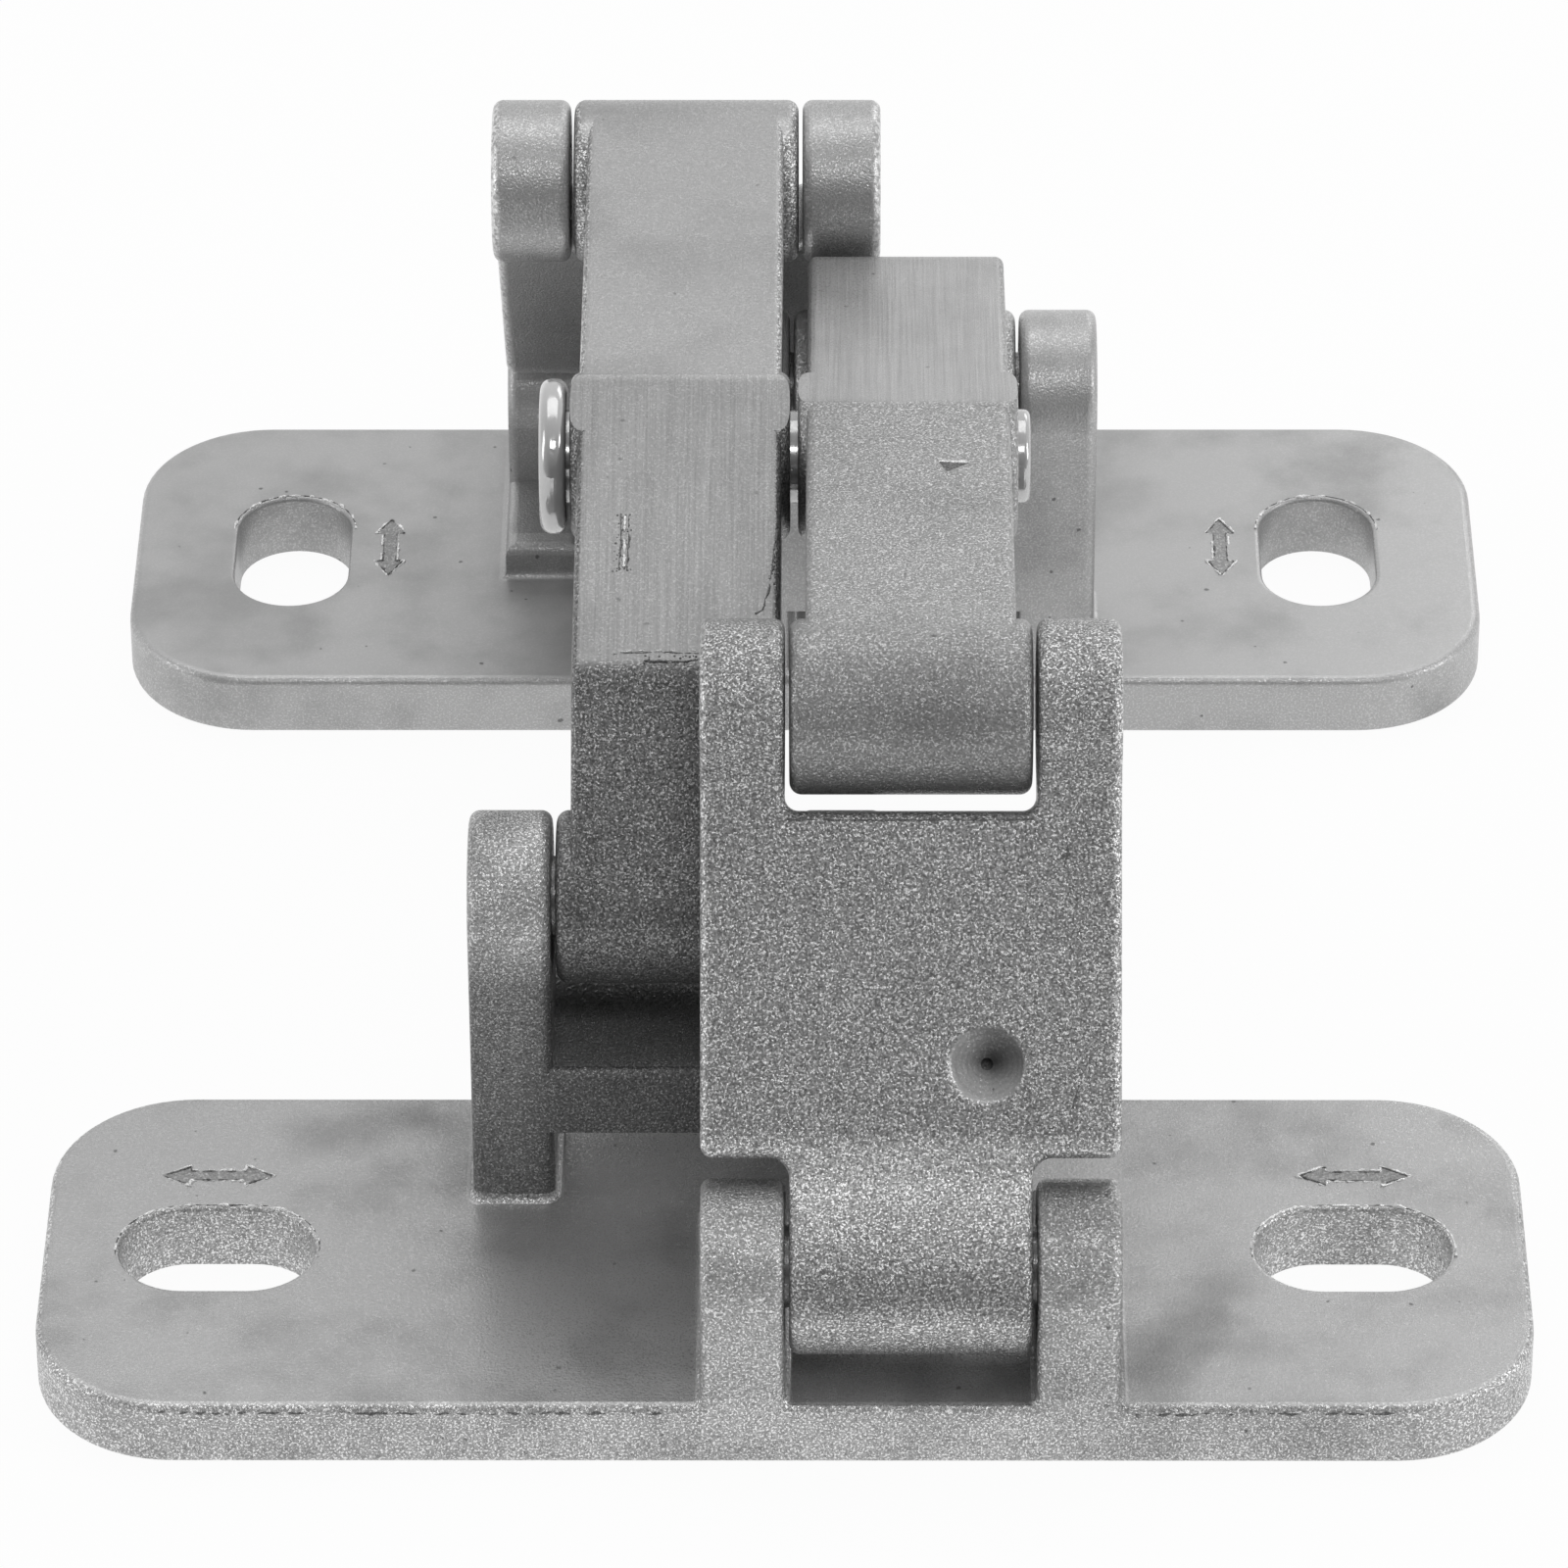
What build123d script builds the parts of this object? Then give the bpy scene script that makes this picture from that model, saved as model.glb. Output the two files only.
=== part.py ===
from build123d import *
import math
import os

# Concealed crossing-arm hinge, laid open flat: two slotted plates carry two arms that cross
# side by side on one rivet, and each plate steers the far arm by a short link.
# Millimetres. X runs along the plates, Y from the front plate to the rear plate, Z up.
# The origin is the middle of the footprint, on the plates' undersides.
# Profiles give y from the outer edge of the front plate, so that one half serves both.

# Plates
plate_length = 110.0
plate_depth = 37.65
plate_thickness = 5.3
plate_corner_radius = 10.4
plate_edge_round = 0.7
plate_gap = 56.0
plate_offset = 0.6

# Bolt slots
slot_setback = 12.9
front_slot_length = 14.5
front_slot_width = 9.8
rear_slot_length = 15.8
rear_slot_width = 9.3
slot_edge_round = 0.4

# Pivots of the front half
knuckle_radius = 6.38
link_pin_height = 13.3
arm_pin_height = 28.7
arm_ear_inset = 0.33
link_top_setback = 29.05
link_top_height = 47.0
rivet_height = 44.9

# Widths across the knuckles
knuckle_offset = 8.6
barrel_width = 17.6
side_gap = 0.33
ear_thickness = 6.12
ear_edge_round = 0.8
ear_foot_round = 0.6
barrel_edge_round = 0.9

# Pad behind each link ear, up to a clearance from the arm ears
pad_clearance = 1.8
pad_height = 2.9
pad_round = 0.9

# Beam across the arm ears, over a window, and the stop wall that rises from its back
window_height = 6.4
beam_height = 5.7
beam_round = 0.7
wall_height = 22.7
wall_thickness = 2.67
wall_hollow_round = 2.5
stop_gap = 0.3
heel_length = 3.7

# Arms
arm_width = 15.3
arm_edge_round = 0.7
arm_gap = 0.6
knee_setback = 37.0
knee_height = 45.15
knee_round = 3.6
ridge_setback = 67.45
ridge_height = 50.94
waist_half = 3.0
waist_length = 7.2
waist_run = 5.5

# Links
link_front_offset = 3.4
link_front_blend = 4.4
link_back_offset = 2.5
link_back_blend = 1.0
shoulder_height = 8.0
shoulder_round = 1.0
neck_round = 1.5
notch_clearance = 1.22
notch_round = 1.0
link_edge_round = 0.8
dimple_side = 5.5
dimple_height = 14.8
dimple_radius = 2.85
dimple_depth = 1.1
dimple_hole_radius = 0.45
dimple_hole_depth = 1.9

# Pins and rivet
pin_radius = 3.0
pin_recess = 0.4
pin_chamfer = 0.4
rivet_radius = 3.55
rivet_head_radius = 5.9
rivet_head_thickness = 2.05
rivet_head_gap = 0.28
rivet_head_round = 0.9
rivet_tail = 0.95
rivet_tail_round = 0.5
running_clearance = 0.05

# What still counts as flat (a span in X) and as smooth (an angle between two faces)
flat_span = 0.08
smooth_angle = 8.0

# Sizes that follow from the ones above
half_depth = plate_depth + plate_gap / 2
slot_spacing = plate_length - 2 * slot_setback
link_pin = (knuckle_radius, link_pin_height)
arm_pin = (plate_depth - arm_ear_inset - knuckle_radius, arm_pin_height)
link_top = (link_top_setback, link_top_height)
rivet = (half_depth, rivet_height)
far_link_top = (2 * half_depth - link_top_setback, link_top_height)
link_length = math.dist(link_pin, link_top)
link_lean = math.degrees(math.atan2(link_top[0] - link_pin[0], link_top[1] - link_pin[1]))
ear_middle = barrel_width / 2 + side_gap + ear_thickness / 2
clevis_gap = barrel_width + 2 * side_gap
clevis_width = clevis_gap + 2 * ear_thickness
boss_width = 2 * knuckle_offset - arm_gap
notch_bottom = link_length - knuckle_radius - notch_clearance
bore_radius = pin_radius + running_clearance
half_turn = Rot(0, 0, 180)


def side_plane(x):
    """Plane whose own x is this hinge's y, measured from the front plate's outer edge."""
    return Plane(origin=(x, -half_depth, 0), x_dir=(0, 1, 0), z_dir=(1, 0, 0))


def side_slab(profile, x_middle, width):
    """Extrude a side profile to a width, centred on x_middle."""
    return extrude(side_plane(x_middle - width / 2) * profile, width)


def outline_edges(slab, lowest):
    """Edges that bound the two flat sides of a slab, above a height."""
    flat = [e for e in slab.edges() if e.bounding_box().size.X < flat_span]
    return [e for e in flat if e.center().Z > lowest]


def sharp_edges(body):
    """Edges where two faces meet at an angle, without the smooth seams."""
    found = []
    for edge in body.edges():
        sides = [f for f in body.faces() if any(edge.is_same(other) for other in f.edges())]
        normals = [f.normal_at(edge.center()) for f in sides]
        if len(normals) == 2 and normals[0].get_angle(normals[1]) > smooth_angle:
            found.append(edge)
    return found


def middle_of(edge):
    """Middle of an edge in the side view."""
    return (edge.center().Y + half_depth, edge.center().Z)


def rod(pivot, x_middle, width, radius):
    """Cylinder along X at a pivot."""
    return side_slab(Pos(*pivot) * Circle(radius), x_middle, width)


def barrel(pivot, x_middle, width, edge_round):
    """Round knuckle with softened rims."""
    body = rod(pivot, x_middle, width, knuckle_radius)
    return fillet(body.edges().filter_by(GeomType.CIRCLE), edge_round)


def tangent_point(point, centre, side):
    """Where a line from a point touches the knuckle circle, on its left (1) or right (-1)."""
    dy, dz = point[0] - centre[0], point[1] - centre[1]
    distance = math.hypot(dy, dz)
    angle = math.atan2(dz, dy) + side * math.acos(knuckle_radius / distance)
    return (centre[0] + knuckle_radius * math.cos(angle), centre[1] + knuckle_radius * math.sin(angle))


def beside(start, end, along, down):
    """Point at a distance along the line from start to end, and a distance below it."""
    length = math.dist(start, end)
    uy, uz = (end[0] - start[0]) / length, (end[1] - start[1]) / length
    return (start[0] + uy * along + uz * down, start[1] + uz * along - uy * down)


def inner_corner(start, middle, end, down):
    """Point below the bend of a line through three points, at one distance from both its legs."""
    first = math.atan2(middle[1] - start[1], middle[0] - start[0])
    second = math.atan2(end[1] - middle[1], end[0] - middle[0])
    bisector = (first + second) / 2
    reach = down / math.cos((first - second) / 2)
    return (middle[0] + reach * math.sin(bisector), middle[1] - reach * math.cos(bisector))


# Plates
def ear(pivot, x_middle):
    """Upright ear: straight sides up to the pin, round top."""
    foot = plate_thickness / 2
    post = Pos(pivot[0], (pivot[1] + foot) / 2) * Rectangle(2 * knuckle_radius, pivot[1] - foot)
    body = side_slab(post + Pos(*pivot) * Circle(knuckle_radius), x_middle, ear_thickness)
    return fillet(outline_edges(body, plate_thickness), ear_edge_round)


def pad(x_middle):
    """Low foot that runs back from a link ear."""
    foot = plate_thickness / 2
    height = plate_thickness + pad_height - foot
    start = link_pin[0]
    length = arm_pin[0] - knuckle_radius - pad_clearance - start
    block = Pos(start + length / 2, foot + height / 2) * Rectangle(length, height)
    body = side_slab(block, x_middle, ear_thickness)
    top = body.faces().sort_by(Axis.Z)[-1]
    return fillet(top.edges(), pad_round)


def stop_beam():
    """Beam flush with the fronts of the arm ears, and the wall the open arm rests over."""
    front_y = arm_pin[0] - knuckle_radius
    back_y = arm_pin[0] + knuckle_radius
    wall_y = back_y - wall_thickness
    bottom_z = plate_thickness + window_height
    top_z = bottom_z + beam_height
    profile = make_face(Polyline((front_y, bottom_z), (back_y, bottom_z), (back_y, wall_height),
                                 (wall_y, wall_height), (wall_y, top_z), (front_y, top_z), close=True))
    for corner, radius in (((front_y, top_z, 0), beam_round), ((wall_y, top_z, 0), wall_hollow_round)):
        profile = fillet(profile.vertices().sort_by_distance(corner)[0], radius)
    return side_slab(profile, -knuckle_offset, clevis_gap + ear_thickness)


def foot_edges(body):
    """Inner corners where the ears and pads stand on the plate."""
    boxes = [(edge, edge.bounding_box()) for edge in sharp_edges(body)]
    return [edge for edge, box in boxes
            if max(abs(box.min.Z - plate_thickness), abs(box.max.Z - plate_thickness)) < flat_span]


def slots(length, width, turn):
    """The two bolt slots, cut through with a softened rim."""
    cutters = []
    for side in (-1, 1):
        middle = Pos(side * slot_spacing / 2, plate_depth / 2 - half_depth)
        cutters.append(extrude(middle * Rot(0, 0, turn) * SlotOverall(length, width), plate_thickness))
    return cutters


def mounting_plate(slot_length, slot_width, slot_turn):
    """Cast plate with its two clevises, as it stands at the front."""
    outline = Pos(0, plate_depth / 2 - half_depth) * RectangleRounded(
        plate_length, plate_depth, plate_corner_radius)
    base = extrude(outline, plate_thickness)
    base = fillet(base.faces().sort_by(Axis.Z)[-1].edges() + base.faces().sort_by(Axis.Z)[0].edges(),
                  plate_edge_round)
    for cutter in slots(slot_length, slot_width, slot_turn):
        base -= cutter
    rims = base.faces().sort_by(Axis.Z)[-1].inner_wires().edges()
    base = Pos(-plate_offset, 0, 0) * fillet(rims, slot_edge_round)
    for side in (-1, 1):
        base += ear(link_pin, knuckle_offset + side * ear_middle)
        base += pad(knuckle_offset + side * ear_middle)
        base += ear(arm_pin, -knuckle_offset + side * ear_middle)
    base += stop_beam()
    base = fillet(foot_edges(base), ear_foot_round)
    for pivot, middle in ((link_pin, knuckle_offset), (arm_pin, -knuckle_offset)):
        base -= rod(pivot, middle, clevis_width + barrel_width, pin_radius)
    return base


# Arms
def arm_body():
    """Cranked arm seen from its side, from the stop heel to the far link's knuckle."""
    ridge = (ridge_setback, ridge_height)
    knee = (knee_setback, knee_height)
    heel_z = wall_height + stop_gap
    heel_start = arm_pin[0] + math.sqrt(knuckle_radius ** 2 - (arm_pin[1] - heel_z) ** 2)
    heel_end = heel_start + heel_length
    reach = math.dist(rivet, far_link_top)
    points = [arm_pin,
              tangent_point(knee, arm_pin, 1),
              knee,
              ridge,
              tangent_point(ridge, far_link_top, -1),
              far_link_top,
              beside(rivet, far_link_top, reach, waist_half),
              beside(rivet, far_link_top, reach - waist_length, waist_half),
              beside(rivet, far_link_top, reach - waist_length - waist_run, knuckle_radius),
              inner_corner(arm_pin, rivet, far_link_top, knuckle_radius),
              beside(arm_pin, rivet, heel_end - arm_pin[0] + heel_length / 2, knuckle_radius),
              (heel_end, heel_z),
              (heel_start, heel_z)]
    profile = make_face(Polyline(*points, close=True))
    knee_corner = profile.vertices().sort_by_distance((knee[0], knee[1], 0))[0]
    profile = fillet(knee_corner, knee_round)
    body = side_slab(profile, -knuckle_offset, arm_width)
    open_edges = [e for e in outline_edges(body, 0)
                  if min(math.dist(middle_of(e), pivot) for pivot in (arm_pin, far_link_top)) > knuckle_radius]
    return fillet(open_edges, arm_edge_round)


def rivet_boss():
    """Boss round the rivet, ground flush with the arm's flat between knee and ridge."""
    slope = math.degrees(math.atan2(ridge_height - knee_height, ridge_setback - knee_setback))
    boss = barrel(rivet, -knuckle_offset, boss_width, barrel_edge_round)
    above = Pos(knee_setback, knee_height) * Rot(0, 0, slope) * Rectangle(
        plate_gap, plate_gap, align=(Align.MIN, Align.MIN))
    return boss - side_slab(above, -knuckle_offset, boss_width)


def left_arm_blank():
    """Arm with its knuckles and pin bores, before the rivet hole is drilled."""
    arm = arm_body() + rivet_boss()
    for pivot in (arm_pin, far_link_top):
        arm += barrel(pivot, -knuckle_offset, barrel_width, barrel_edge_round)
    arm -= rod(arm_pin, -knuckle_offset, 2 * barrel_width, bore_radius)
    return arm - rod(far_link_top, -knuckle_offset, 2 * barrel_width, pin_radius)


# Links
def link_side_view():
    """Upright link seen from its side: a flat bar between two round knuckles, blended at both."""
    bar_middle = (link_back_offset - link_front_offset) / 2
    bar = Rectangle(link_front_offset + link_back_offset, link_length)
    view = Circle(knuckle_radius) + Pos(0, link_length) * Circle(knuckle_radius)
    view += Pos(bar_middle, link_length / 2) * bar
    for side, radius in ((-link_front_offset, link_front_blend), (link_back_offset, link_back_blend)):
        corners = [v for v in view.vertices() if math.isclose(v.X, side, abs_tol=flat_span)]
        view = fillet(corners, radius)
    return view


def link_front_view():
    """Upright link seen from the front: neck, wide body, and a notch for the arm's knuckle."""
    top = link_length + 2 * knuckle_radius
    view = Pos(0, (top + shoulder_height) / 2) * Rectangle(clevis_width, top - shoulder_height)
    view += Rectangle(barrel_width, 2 * top)
    view -= Pos(0, notch_bottom + top / 2) * Rectangle(clevis_gap, top)
    for half_width, height, radius in ((clevis_width / 2, shoulder_height, shoulder_round),
                                       (barrel_width / 2, shoulder_height, neck_round),
                                       (clevis_gap / 2, notch_bottom, notch_round)):
        for side in (-1, 1):
            corner = view.vertices().sort_by_distance((side * half_width, height, 0))[0]
            view = fillet(corner, radius)
    return view


def link_blank():
    """Link stood upright on its lower pin, both views cut into one block, edges softened."""
    side_to_side = Plane(origin=(-clevis_width, 0, 0), x_dir=(0, 1, 0), z_dir=(1, 0, 0))
    front_to_back = Plane(origin=(0, -clevis_width, 0), x_dir=(1, 0, 0), z_dir=(0, -1, 0))
    block = extrude(side_to_side * link_side_view(), 2 * clevis_width)
    block &= extrude(front_to_back * link_front_view(), -2 * clevis_width)
    return fillet(sharp_edges(block), link_edge_round)


def link():
    """Link in its place on the front plate."""
    body = link_blank()
    body -= Rot(0, 90, 0) * Cylinder(bore_radius, 2 * clevis_width)
    body -= Pos(0, 0, link_length) * Rot(0, 90, 0) * Cylinder(pin_radius, 2 * clevis_width)
    face = Pos(dimple_side, -link_front_offset, dimple_height) * Rot(90, 0, 0)
    body -= face * Pos(0, 0, -dimple_depth / 2) * Cone(0, dimple_radius, dimple_depth)
    body -= face * Pos(0, 0, -dimple_hole_depth / 2) * Cylinder(dimple_hole_radius, dimple_hole_depth)
    return Pos(knuckle_offset, link_pin[0] - half_depth, link_pin[1]) * Rot(-link_lean, 0, 0) * body


# Pins and rivet
def pin(pivot, x_middle, width):
    """Plain pin with chamfered ends."""
    body = rod(pivot, x_middle, width, pin_radius)
    return chamfer(body.edges().filter_by(GeomType.CIRCLE), pin_chamfer)


def pin_ends(pivot, x_middle):
    """The two lengths of a pin that sit in the ears."""
    length = ear_thickness - pin_recess
    shift = ear_middle - pin_recess / 2
    return Compound(children=[pin(pivot, x_middle + side * shift, length) for side in (-1, 1)])


def centre_rivet():
    """Headed rivet through both arms, head on the left arm, tail proud of the right one."""
    outer = knuckle_offset + boss_width / 2
    head_x = -outer - rivet_head_gap - rivet_head_thickness / 2
    head = rod(rivet, head_x, rivet_head_thickness, rivet_head_radius)
    head = fillet(head.edges().filter_by(GeomType.CIRCLE), rivet_head_round)
    tail_x = outer + rivet_tail
    shank = rod(rivet, (tail_x + head_x) / 2, tail_x - head_x, rivet_radius)
    shank = fillet(shank.faces().sort_by(Axis.X)[-1].edges(), rivet_tail_round)
    return head + shank


left_arm = left_arm_blank()
right_arm = half_turn * left_arm
full_pin = clevis_width - 2 * pin_recess

parts = {
    "front_mounting_plate": mounting_plate(front_slot_length, front_slot_width, 0),
    "rear_mounting_plate": half_turn * mounting_plate(rear_slot_length, rear_slot_width, 90),
    "left_arm": left_arm - rod(rivet, 0, plate_length, rivet_radius),
    "right_arm": right_arm - rod(rivet, 0, plate_length, rivet_radius + running_clearance),
    "front_link": link(),
    "rear_link": half_turn * link(),
    "centre_rivet": centre_rivet(),
    "front_link_pin": pin(link_pin, knuckle_offset, full_pin),
    "rear_link_pin": half_turn * pin(link_pin, knuckle_offset, full_pin),
    "left_arm_pin": pin(arm_pin, -knuckle_offset, full_pin),
    "right_arm_pin": half_turn * pin(arm_pin, -knuckle_offset, full_pin),
    "front_link_top_pin": pin(link_top, knuckle_offset, barrel_width),
    "rear_link_top_pin": half_turn * pin(link_top, knuckle_offset, barrel_width),
    "front_link_top_pin_ends": pin_ends(link_top, knuckle_offset),
    "rear_link_top_pin_ends": half_turn * pin_ends(link_top, knuckle_offset),
}

os.makedirs("parts", exist_ok=True)
for name, shape in parts.items():
    export_step(shape, f"parts/{name}.step")
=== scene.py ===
# %% [markdown]
# # A concealed crossing-arm hinge, dressed for its picture
#
# The hinge is thirteen pieces, six castings, six pins and a rivet, that already exist as exact solids.
# This script never moves or reshapes them. It gives each one the finish of its own metal, adds the small
# marks that the maker's tools left, and sets the camera and the light. Everything is in the hinge's own
# frame: X runs along the plates, Y from the front plate to the rear plate, Z up. Blender works in metres.
# Sizes are written in millimetres and multiplied by mm where they meet Blender.

# %% Load the solids
import bpy
import math
from mathutils import Matrix, Vector


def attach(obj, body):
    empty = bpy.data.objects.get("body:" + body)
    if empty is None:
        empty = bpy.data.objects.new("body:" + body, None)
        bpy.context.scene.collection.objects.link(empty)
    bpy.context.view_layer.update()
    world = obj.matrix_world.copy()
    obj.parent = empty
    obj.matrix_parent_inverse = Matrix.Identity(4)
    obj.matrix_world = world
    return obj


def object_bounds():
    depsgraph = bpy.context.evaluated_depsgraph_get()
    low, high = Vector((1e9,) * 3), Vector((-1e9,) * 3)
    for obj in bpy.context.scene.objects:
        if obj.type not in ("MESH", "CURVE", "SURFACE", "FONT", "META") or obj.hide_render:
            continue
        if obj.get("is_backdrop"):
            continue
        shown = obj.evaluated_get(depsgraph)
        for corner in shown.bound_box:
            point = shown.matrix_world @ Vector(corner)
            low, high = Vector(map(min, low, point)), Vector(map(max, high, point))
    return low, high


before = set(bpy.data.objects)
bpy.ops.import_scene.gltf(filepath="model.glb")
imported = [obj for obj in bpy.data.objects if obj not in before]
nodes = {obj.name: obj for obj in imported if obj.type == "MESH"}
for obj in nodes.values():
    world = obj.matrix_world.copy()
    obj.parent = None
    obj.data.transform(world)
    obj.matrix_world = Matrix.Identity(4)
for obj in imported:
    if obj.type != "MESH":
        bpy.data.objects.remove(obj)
cad_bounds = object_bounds()
scene = bpy.context.scene
scene.view_settings.view_transform = "Standard"
mm = 0.001
print("solids:", len(nodes), "span in mm:", [round(s / mm, 1) for s in cad_bounds[1] - cad_bounds[0]])

# %% [markdown]
# The camera stands in front of the hinge and looks down on it by about 35 degrees through a long lens,
# so that the far plate looks only a tenth smaller than the near one. Its place and angles were fitted to
# the outlines of the plates in the picture. It is turned about three axes in a row, each by a matrix:
# the roll about its own line of sight comes last in the product and so acts first.

# %% Camera
camera_place = (0.003457, -0.60322, 0.43597)
camera_pitch_down = 34.936
camera_turn = 0.411
camera_roll = -0.224
camera_lens = 217.65
nearest_seen = 0.05


def turn(degrees, axis):
    """Rotation matrix about one axis."""
    return Matrix.Rotation(math.radians(degrees), 4, axis)


camera = bpy.data.objects.new("camera", bpy.data.cameras.new("camera"))
scene.collection.objects.link(camera)
camera.data.lens = camera_lens
camera.data.clip_start = nearest_seen
camera.matrix_world = (Matrix.Translation(camera_place) @ turn(camera_turn, "Z")
                       @ turn(90 - camera_pitch_down, "X") @ turn(camera_roll, "Z"))
scene.camera = camera
print("camera distance in mm:", round(Vector(camera_place).length / mm))

# %% [markdown]
# Every material and every light here is a small graph of nodes. One helper adds a node, sets its
# options and fills its inputs, either with plain values or with another node's output. It keeps the
# cells that follow short enough to read.


# %% Helpers for node graphs
def fill(tree, made, inputs):
    """Fill a node's inputs with values or with other nodes' outputs."""
    for name, value in inputs.items():
        if isinstance(value, bpy.types.NodeSocket):
            tree.links.new(value, made.inputs[name])
        else:
            made.inputs[name].default_value = value


def node(tree, kind, inputs=None, **settings):
    """Add a node, set its options and fill its inputs."""
    made = tree.nodes.new(kind)
    for name, value in settings.items():
        setattr(made, name, value)
    fill(tree, made, inputs or {})
    return made


def math_node(tree, operation, *values):
    """Output of a Math node."""
    return node(tree, "ShaderNodeMath", dict(enumerate(values)), operation=operation).outputs[0]


def ramp(tree, value, low, high, to_low=0.0, to_high=1.0, smooth=True):
    """Output of a Map Range node, eased at both ends unless smooth is off."""
    made = node(tree, "ShaderNodeMapRange", {"Value": value, "From Min": low, "From Max": high,
                                             "To Min": to_low, "To Max": to_high})
    made.interpolation_type = "SMOOTHSTEP" if smooth else "LINEAR"
    return made.outputs["Result"]


def object_place(tree):
    """Place on the object, in its own frame."""
    return node(tree, "ShaderNodeTexCoord").outputs["Object"]


# %% [markdown]
# Bare metal shows its surroundings, so most of its light is the room. The room is darkest low in front,
# where the camera stands, and brightens evenly all the way round to the back. That is what makes faces
# turned to the camera darker than tops, and gives the round knuckles their soft bands. Light that metal
# scatters gets a little less of the room than light that it mirrors. Camera rays see plain white instead.

# %% The room
darkest_way = Vector((0.0, -1.0, 0.06)).normalized()
room_dark = 0.03
room_rise = 0.60
diffuse_share = 0.85

world = bpy.data.worlds.new("room")
world.use_nodes = True
scene.world = world
tree = world.node_tree
tree.nodes.clear()
direction = node(tree, "ShaderNodeTexCoord").outputs["Generated"]
towards = node(tree, "ShaderNodeVectorMath", {0: direction, 1: darkest_way}, operation="DOT_PRODUCT")
away = math_node(tree, "POWER", math_node(tree, "SUBTRACT", 1.0, towards.outputs["Value"]), 0.5)
room_level = math_node(tree, "MULTIPLY_ADD", away, room_rise, room_dark)
rays = node(tree, "ShaderNodeLightPath").outputs
softer = math_node(tree, "MULTIPLY", room_level, diffuse_share)
shiny = math_node(tree, "MAXIMUM", rays["Is Glossy Ray"], rays["Is Transmission Ray"])
lighting = node(tree, "ShaderNodeMix", {"Factor": shiny, "A": softer, "B": room_level}).outputs[0]
strength = node(tree, "ShaderNodeMix", {"Factor": rays["Is Camera Ray"], "A": lighting, "B": 1.0}).outputs[0]
background = node(tree, "ShaderNodeBackground", {"Color": (1, 1, 1, 1), "Strength": strength})
node(tree, "ShaderNodeOutputWorld", {"Surface": background.outputs[0]})
print("room level in front:", room_dark, "behind:", round(room_dark + room_rise * math.sqrt(2), 2))

# %% [markdown]
# The table is a large white sheet. To the camera, and in the metal's reflections, it is plain white
# with only a faint trace of the hinge's shadow. For all other rays it is an ordinary matt sheet.

# %% The table
table_half_size = 30.0
table_white = 0.82
shadow_trace = 0.05

sheet = bpy.data.meshes.new("table")
corners = [(x * table_half_size, y * table_half_size, 0.0) for x, y in ((-1, -1), (1, -1), (1, 1), (-1, 1))]
sheet.from_pydata(corners, [], [range(4)])
table = bpy.data.objects.new("table", sheet)
scene.collection.objects.link(table)
table_finish = bpy.data.materials.new("table_white")
table_finish.use_nodes = True
tree = table_finish.node_tree
tree.nodes.clear()
rays = node(tree, "ShaderNodeLightPath").outputs
seen = math_node(tree, "MAXIMUM", rays["Is Camera Ray"],
                 math_node(tree, "MAXIMUM", rays["Is Glossy Ray"], rays["Is Transmission Ray"]))
share = math_node(tree, "MULTIPLY", seen, 1 - shadow_trace)
matt = node(tree, "ShaderNodeBsdfDiffuse", {"Color": (table_white,) * 3 + (1,)}).outputs[0]
glow = node(tree, "ShaderNodeEmission", {"Color": (1, 1, 1, 1), "Strength": 1.0}).outputs[0]
mixed = node(tree, "ShaderNodeMixShader", {0: share, 1: matt, 2: glow})
node(tree, "ShaderNodeOutputMaterial", {"Surface": mixed.outputs[0]})
sheet.materials.append(table_finish)
table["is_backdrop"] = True
print("table half size in m:", table_half_size)

# %% [markdown]
# Soft lamps shape the metal. A broad one overhead and behind brightens every top. Two narrower ones at
# the sides draw the bright lines down the rounded upright edges. One above the camera lays a bright band
# across every round knuckle, and a small card behind lifts the right end of the rear plate.


# %% Lamps
def soft_lamp(name, place, aim, width, height, watts):
    """Rectangular area lamp that faces a point."""
    lamp = bpy.data.objects.new(name, bpy.data.lights.new(name, "AREA"))
    lamp.data.shape = "RECTANGLE"
    lamp.data.size = width
    lamp.data.size_y = height
    lamp.data.energy = watts
    scene.collection.objects.link(lamp)
    lamp.location = place
    lamp.rotation_euler = (Vector(aim) - Vector(place)).to_track_quat("-Z", "Y").to_euler()


hinge_middle = (0.0, 0.0, 0.02)
rear_right_top = (0.04, 0.047, 0.005)
soft_lamp("overhead_lamp", (0.0, 0.35, 0.9), hinge_middle, width=0.9, height=0.6, watts=2.0)
soft_lamp("left_lamp", (-0.9, -0.15, 0.35), hinge_middle, width=0.3, height=0.5, watts=1.2)
soft_lamp("right_lamp", (0.9, -0.25, 0.4), hinge_middle, width=0.3, height=0.5, watts=2.0)
soft_lamp("front_lamp", (0.1, -0.75, 0.95), hinge_middle, width=0.5, height=0.22, watts=1.7)
soft_lamp("back_card", (0.16, 0.36, 0.2), rear_right_top, width=0.16, height=0.12, watts=0.1)

# %% [markdown]
# A node group is a named box of nodes with its own inputs and outputs. What several materials share goes
# into one, so that each material only sets its numbers. Two helpers open and close a group, and a third
# makes noise, the smooth random pattern that most natural surfaces start from.


# %% Helpers for groups
def start_group(name, inputs, outputs):
    """New shader node group with named number inputs and outputs."""
    group = bpy.data.node_groups.new(name, "ShaderNodeTree")
    for label, value in inputs.items():
        group.interface.new_socket(label, in_out="INPUT", socket_type="NodeSocketFloat").default_value = value
    for label in outputs:
        group.interface.new_socket(label, in_out="OUTPUT", socket_type="NodeSocketFloat")
    return group, group.nodes.new("NodeGroupInput").outputs


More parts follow.
